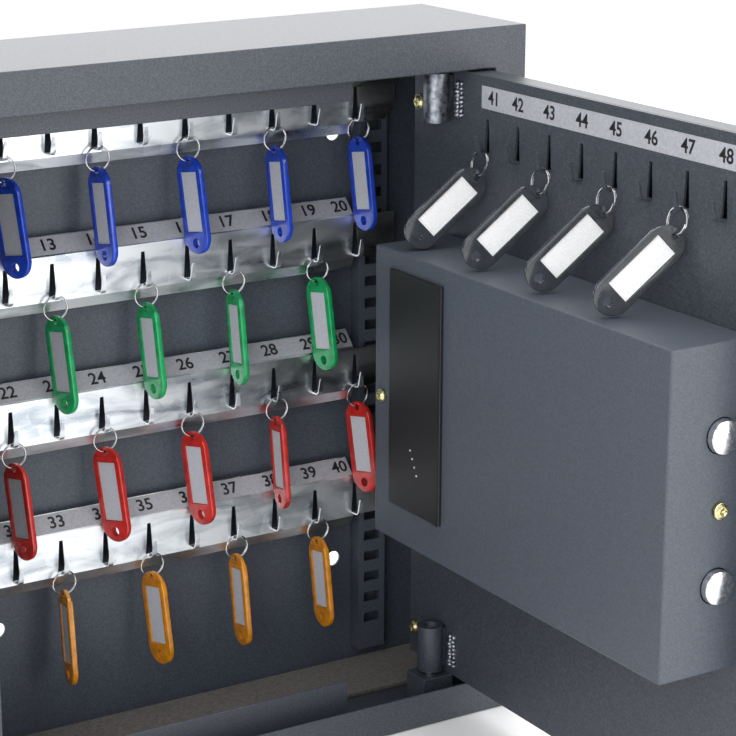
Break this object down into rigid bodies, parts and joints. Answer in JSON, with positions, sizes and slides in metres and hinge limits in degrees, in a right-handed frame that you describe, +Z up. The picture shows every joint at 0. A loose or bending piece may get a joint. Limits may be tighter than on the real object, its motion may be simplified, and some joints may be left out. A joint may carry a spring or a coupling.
{
  "type": "key cabinet",
  "caption": "Wall-mounted steel key cabinet with numbered hook rails, colour-coded key tags and a side-hinged electronic lock door.",
  "frame": {"origin": "centre of the cabinet's width, at its back face and underside", "axes": "+X to the right as seen from the front, +Y to the back (the wall), +Z up; the door opens towards -Y"},
  "size_m": [0.3791, 0.3907, 0.437],
  "materials": {
    "powder_coat": "fine-textured anthracite powder coat, satin",
    "inner_powder_coat": "dark anthracite powder coat, satin",
    "galvanised": "bright galvanised sheet, slightly mottled",
    "bright_steel": "turned and polished",
    "yellow_zinc": "yellow-passivated zinc",
    "black_plastic": "fine-grained moulded plastic",
    "black_diecast": "zinc die-casting, painted black",
    "dark_rubber": "matt",
    "felt": "short grey-brown felt",
    "blue_plastic": "translucent, glossy",
    "green_plastic": "translucent, glossy",
    "red_plastic": "translucent, glossy",
    "orange_plastic": "translucent, glossy",
    "clear_plastic": "smoky clear, glossy"
  },
  "bodies": {
    "cabinet": {"cabinet_shell": "powder_coat", "back_panel": "inner_powder_coat", "stop_lip_top": "powder_coat", "stop_lip_bottom": "powder_coat", "strike_angle": "powder_coat", "upright_left": "inner_powder_coat", "upright_right": "inner_powder_coat", "hook_rail_1": "galvanised", "hook_rail_2": "galvanised", "hook_rail_3": "galvanised", "hook_rail_4": "galvanised", "felt_mat": "felt", "hinge_block_upper": "powder_coat", "hinge_block_lower": "powder_coat", "hinge_pin_upper": "bright_steel", "hinge_pin_lower": "bright_steel"},
    "door": {"door_panel": "powder_coat", "door_inner_sheet": "powder_coat", "hinge_tube_upper": "powder_coat", "hinge_tube_lower": "powder_coat", "hinge_screw_upper": "yellow_zinc", "hinge_screw_lower": "yellow_zinc", "lock_cover": "powder_coat", "cover_screw_face": "yellow_zinc", "cover_screw_side": "yellow_zinc", "battery_holder": "black_plastic", "lock_plate": "galvanised", "solenoid_body": "galvanised", "keypad_housing": "black_plastic", "keypad_mat": "dark_rubber", "key_cylinder": "bright_steel"},
    "battery_hatch": {"battery_cover": "black_plastic"},
    "bolt_slide": {"bolt_carriage": "galvanised", "bolt_upper": "bright_steel", "bolt_lower": "bright_steel"},
    "lock_knob": {"knob": "black_diecast", "knob_shaft": "bright_steel"},
    "locking_plunger": {"solenoid_plunger": "bright_steel"},
    "tag_02": {"key_tag_02": "blue_plastic"},
    "tag_04": {"key_tag_04": "blue_plastic"},
    "tag_06": {"key_tag_06": "blue_plastic"},
    "tag_08": {"key_tag_08": "blue_plastic"},
    "tag_10": {"key_tag_10": "blue_plastic"},
    "tag_13": {"key_tag_13": "green_plastic"},
    "tag_15": {"key_tag_15": "green_plastic"},
    "tag_17": {"key_tag_17": "green_plastic"},
    "tag_19": {"key_tag_19": "green_plastic"},
    "tag_22": {"key_tag_22": "red_plastic"},
    "tag_24": {"key_tag_24": "red_plastic"},
    "tag_26": {"key_tag_26": "red_plastic"},
    "tag_28": {"key_tag_28": "red_plastic"},
    "tag_30": {"key_tag_30": "red_plastic"},
    "tag_33": {"key_tag_33": "orange_plastic"},
    "tag_35": {"key_tag_35": "orange_plastic"},
    "tag_37": {"key_tag_37": "orange_plastic"},
    "tag_39": {"key_tag_39": "orange_plastic"},
    "tag_41": {"key_tag_41": "clear_plastic"},
    "tag_43": {"key_tag_43": "clear_plastic"},
    "tag_45": {"key_tag_45": "clear_plastic"},
    "tag_47": {"key_tag_47": "clear_plastic"}
  },
  "joints": [
    {"name": "door_swing", "type": "hinge", "parent": "cabinet", "child": "door", "pos_m": [0.14, -0.0872, 0.2185], "axis": [0, 0, 1], "range_deg": [-90, 0]},
    {"name": "hatch_slide", "type": "slide", "parent": "door", "child": "battery_hatch", "axis": [0, 0, 1], "range_m": [0, 0.025]},
    {"name": "knob_turn", "type": "hinge", "parent": "door", "child": "lock_knob", "pos_m": [0.17, -0.2902, 0.2185], "axis": [1, 0, 0], "range_deg": [0, 90]},
    {"name": "bolt_throw", "type": "slide", "parent": "door", "child": "bolt_slide", "axis": [0, -1, 0], "range_m": [0, 0.032]},
    {"name": "plunger_travel", "type": "slide", "parent": "door", "child": "locking_plunger", "axis": [0, 0, 1], "range_m": [-0.004, 0], "stiffness_N_per_m": 200, "springref_m": 0.002},
    {"name": "tag_02_swing", "type": "hinge", "parent": "cabinet", "child": "tag_02", "pos_m": [-0.113, -0.0207, 0.373], "axis": [0, 1, 0], "range_deg": [-14, 14]},
    {"name": "tag_04_swing", "type": "hinge", "parent": "cabinet", "child": "tag_04", "pos_m": [-0.053, -0.0207, 0.373], "axis": [0, 1, 0], "range_deg": [-14, 14]},
    {"name": "tag_06_swing", "type": "hinge", "parent": "cabinet", "child": "tag_06", "pos_m": [0.007, -0.0207, 0.373], "axis": [0, 1, 0], "range_deg": [-14, 14]},
    {"name": "tag_08_swing", "type": "hinge", "parent": "cabinet", "child": "tag_08", "pos_m": [0.067, -0.0207, 0.373], "axis": [0, 1, 0], "range_deg": [-14, 14]},
    {"name": "tag_10_swing", "type": "hinge", "parent": "cabinet", "child": "tag_10", "pos_m": [0.127, -0.0207, 0.373], "axis": [0, 1, 0], "range_deg": [-8, 14]},
    {"name": "tag_13_swing", "type": "hinge", "parent": "cabinet", "child": "tag_13", "pos_m": [-0.083, -0.0207, 0.2866], "axis": [0, 1, 0], "range_deg": [-14, 14]},
    {"name": "tag_15_swing", "type": "hinge", "parent": "cabinet", "child": "tag_15", "pos_m": [-0.023, -0.0207, 0.2866], "axis": [0, 1, 0], "range_deg": [-14, 14]},
    {"name": "tag_17_swing", "type": "hinge", "parent": "cabinet", "child": "tag_17", "pos_m": [0.037, -0.0207, 0.2866], "axis": [0, 1, 0], "range_deg": [-14, 14]},
    {"name": "tag_19_swing", "type": "hinge", "parent": "cabinet", "child": "tag_19", "pos_m": [0.097, -0.0207, 0.2866], "axis": [0, 1, 0], "range_deg": [-14, 14]},
    {"name": "tag_22_swing", "type": "hinge", "parent": "cabinet", "child": "tag_22", "pos_m": [-0.113, -0.0207, 0.2002], "axis": [0, 1, 0], "range_deg": [-14, 14]},
    {"name": "tag_24_swing", "type": "hinge", "parent": "cabinet", "child": "tag_24", "pos_m": [-0.053, -0.0207, 0.2002], "axis": [0, 1, 0], "range_deg": [-14, 14]},
    {"name": "tag_26_swing", "type": "hinge", "parent": "cabinet", "child": "tag_26", "pos_m": [0.007, -0.0207, 0.2002], "axis": [0, 1, 0], "range_deg": [-14, 14]},
    {"name": "tag_28_swing", "type": "hinge", "parent": "cabinet", "child": "tag_28", "pos_m": [0.067, -0.0207, 0.2002], "axis": [0, 1, 0], "range_deg": [-14, 14]},
    {"name": "tag_30_swing", "type": "hinge", "parent": "cabinet", "child": "tag_30", "pos_m": [0.127, -0.0207, 0.2002], "axis": [0, 1, 0], "range_deg": [-8, 14]},
    {"name": "tag_33_swing", "type": "hinge", "parent": "cabinet", "child": "tag_33", "pos_m": [-0.083, -0.0207, 0.1138], "axis": [0, 1, 0], "range_deg": [-14, 14]},
    {"name": "tag_35_swing", "type": "hinge", "parent": "cabinet", "child": "tag_35", "pos_m": [-0.023, -0.0207, 0.1138], "axis": [0, 1, 0], "range_deg": [-14, 14]},
    {"name": "tag_37_swing", "type": "hinge", "parent": "cabinet", "child": "tag_37", "pos_m": [0.037, -0.0207, 0.1138], "axis": [0, 1, 0], "range_deg": [-14, 14]},
    {"name": "tag_39_swing", "type": "hinge", "parent": "cabinet", "child": "tag_39", "pos_m": [0.097, -0.0207, 0.1138], "axis": [0, 1, 0], "range_deg": [-14, 14]},
    {"name": "tag_41_swing", "type": "hinge", "parent": "door", "child": "tag_41", "pos_m": [0.14555, -0.1277, 0.367], "axis": [0, 1, 0], "range_deg": [0, 25]},
    {"name": "tag_43_swing", "type": "hinge", "parent": "door", "child": "tag_43", "pos_m": [0.14555, -0.1877, 0.367], "axis": [0, 1, 0], "range_deg": [0, 25]},
    {"name": "tag_45_swing", "type": "hinge", "parent": "door", "child": "tag_45", "pos_m": [0.14555, -0.2477, 0.367], "axis": [0, 1, 0], "range_deg": [0, 25]},
    {"name": "tag_47_swing", "type": "hinge", "parent": "door", "child": "tag_47", "pos_m": [0.14555, -0.3077, 0.367], "axis": [0, 1, 0], "range_deg": [0, 25]}
  ],
  "couplings": [
    {"joint": "bolt_throw", "follows": "knob_turn", "m_per_rad": 0.02037}
  ]
}
